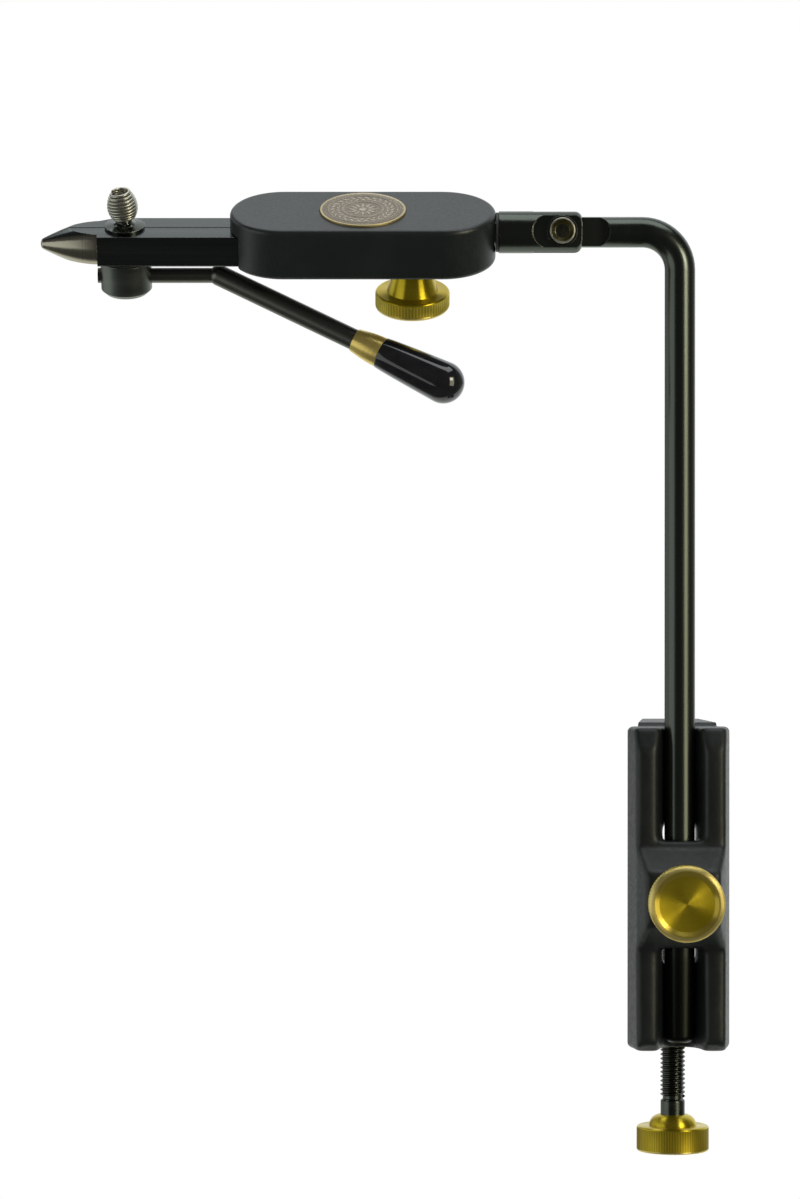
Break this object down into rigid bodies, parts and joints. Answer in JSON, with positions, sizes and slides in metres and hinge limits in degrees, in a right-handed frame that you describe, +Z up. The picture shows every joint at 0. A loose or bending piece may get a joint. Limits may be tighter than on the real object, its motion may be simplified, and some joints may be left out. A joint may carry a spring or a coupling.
{
  "type": "fly tying vise",
  "caption": "Table-clamp fly tying vise: bent stem, tilting and rotating head, and spring-closed jaws that a cam lever opens.",
  "frame": {"origin": "middle of the flat table face under the clamp's upper jaw, on the clamp screw's axis", "axes": "+Z up along the stem, +X away from the jaw tips, +Y from the stem into the table"},
  "size_m": [0.215, 0.0793, 0.3041],
  "materials": {
    "black_coat": "satin black powder coat on a casting",
    "housing_coat": "fine satin black powder coat",
    "black_oxide": "oiled black oxide, satin gloss",
    "jaw_steel": "black oxide with a polished tip",
    "bright_steel": "turned steel",
    "spring_steel": "drawn spring wire",
    "dark_screw": "black screw steel",
    "brass": "turned and knurled brass, clear lacquer",
    "antique_bronze": "antiqued bronze relief",
    "black_vinyl": "glossy dipped vinyl",
    "black_nylon": "matt nylon washer",
    "white_nylon": "matt nylon plug"
  },
  "bodies": {
    "clamp": {"clamp_body": "black_coat"},
    "pad": {"clamp_pad": "black_oxide"},
    "clamp_screw": {"clamp_screw": "black_oxide", "pad_clip": "spring_steel", "clamp_knob": "brass"},
    "stem": {"stem_rod": "black_oxide"},
    "lock_tip": {"stem_lock_tip": "brass"},
    "stem_lock": {"stem_lock_screw": "bright_steel", "stem_lock_knob": "brass"},
    "knuckle": {"knuckle_barrel": "black_oxide", "tilt_screw": "dark_screw", "tilt_washer": "dark_screw", "spindle_washer": "black_nylon", "spindle_ring": "spring_steel"},
    "head": {"head_housing": "housing_coat", "head_cover": "housing_coat", "cover_screws": "dark_screw", "medallion": "antique_bronze", "jaw_pivot_pins": "bright_steel", "jaw_spring": "spring_steel"},
    "tension_plug": {"tension_plug": "white_nylon"},
    "tension": {"tension_screw": "bright_steel", "tension_knob": "brass"},
    "near_jaw": {"jaw_near": "jaw_steel"},
    "far_jaw": {"jaw_far": "jaw_steel"},
    "lever": {"cam_barrel": "black_oxide", "cam_shaft": "bright_steel", "cam_washer": "black_nylon", "cam_collar": "black_oxide", "material_spring": "spring_steel", "lever_set_screw": "dark_screw", "lever_rod": "black_oxide", "lever_ferrule": "brass", "lever_grip": "black_vinyl"}
  },
  "joints": [
    {"name": "pad_travel", "type": "slide", "parent": "clamp", "child": "pad", "axis": [0, 0, 1], "range_m": [-0.038, 0.019]},
    {"name": "clamp_screw_turn", "type": "hinge", "parent": "pad", "child": "clamp_screw", "pos_m": [0, 0, -0.1], "axis": [0, 0, 1], "range_deg": [-9720, 4860]},
    {"name": "stem_height", "type": "slide", "parent": "clamp", "child": "stem", "axis": [0, 0, 1], "range_m": [-0.11, 0.035]},
    {"name": "lock_travel", "type": "slide", "parent": "clamp", "child": "lock_tip", "axis": [0, 1, 0], "range_m": [-0.003, 0]},
    {"name": "lock_turn", "type": "hinge", "parent": "lock_tip", "child": "stem_lock", "pos_m": [0, -0.055, -0.0415], "axis": [0, 1, 0], "range_deg": [-855, 0]},
    {"name": "head_tilt", "type": "hinge", "parent": "stem", "child": "knuckle", "pos_m": [-0.0368, -0.0314, 0.165], "axis": [0, 1, 0], "range_deg": [-45, 90]},
    {"name": "head_rotate", "type": "hinge", "parent": "knuckle", "child": "head", "pos_m": [-0.0573, -0.0314, 0.165], "axis": [1, 0, 0], "continuous": true},
    {"name": "tension_travel", "type": "slide", "parent": "head", "child": "tension_plug", "axis": [0, -0.4617, 0.887], "range_m": [-0.0012, 0]},
    {"name": "tension_turn", "type": "hinge", "parent": "tension_plug", "child": "tension", "pos_m": [-0.0832, -0.0314, 0.165], "axis": [0, -0.4617, 0.887], "range_deg": [-345, 0]},
    {"name": "lever_squeeze", "type": "hinge", "parent": "head", "child": "lever", "pos_m": [-0.1727, -0.0314, 0.165], "axis": [0, -0.4617, 0.887], "range_deg": [0, 30], "stiffness_Nm_per_rad": 1.2, "springref_deg": -20.05},
    {"name": "near_jaw_open", "type": "hinge", "parent": "head", "child": "near_jaw", "pos_m": [-0.1249, -0.03492, 0.16317], "axis": [0, -0.4617, 0.887], "range_deg": [0, 1.68], "deforming": ["jaw_spring"]},
    {"name": "far_jaw_open", "type": "hinge", "parent": "head", "child": "far_jaw", "pos_m": [-0.1249, -0.02788, 0.16683], "axis": [0, -0.4617, 0.887], "range_deg": [-1.68, 0]}
  ],
  "couplings": [
    {"joint": "clamp_screw_turn", "follows": "pad_travel", "rad_per_m": 4453.1},
    {"joint": "lock_turn", "follows": "lock_travel", "rad_per_m": 4947.3},
    {"joint": "tension_turn", "follows": "tension_travel", "rad_per_m": 4947.3},
    {"joint": "near_jaw_open", "follows": "lever_squeeze", "ratio": 0.0557},
    {"joint": "far_jaw_open", "follows": "lever_squeeze", "ratio": -0.0557}
  ]
}
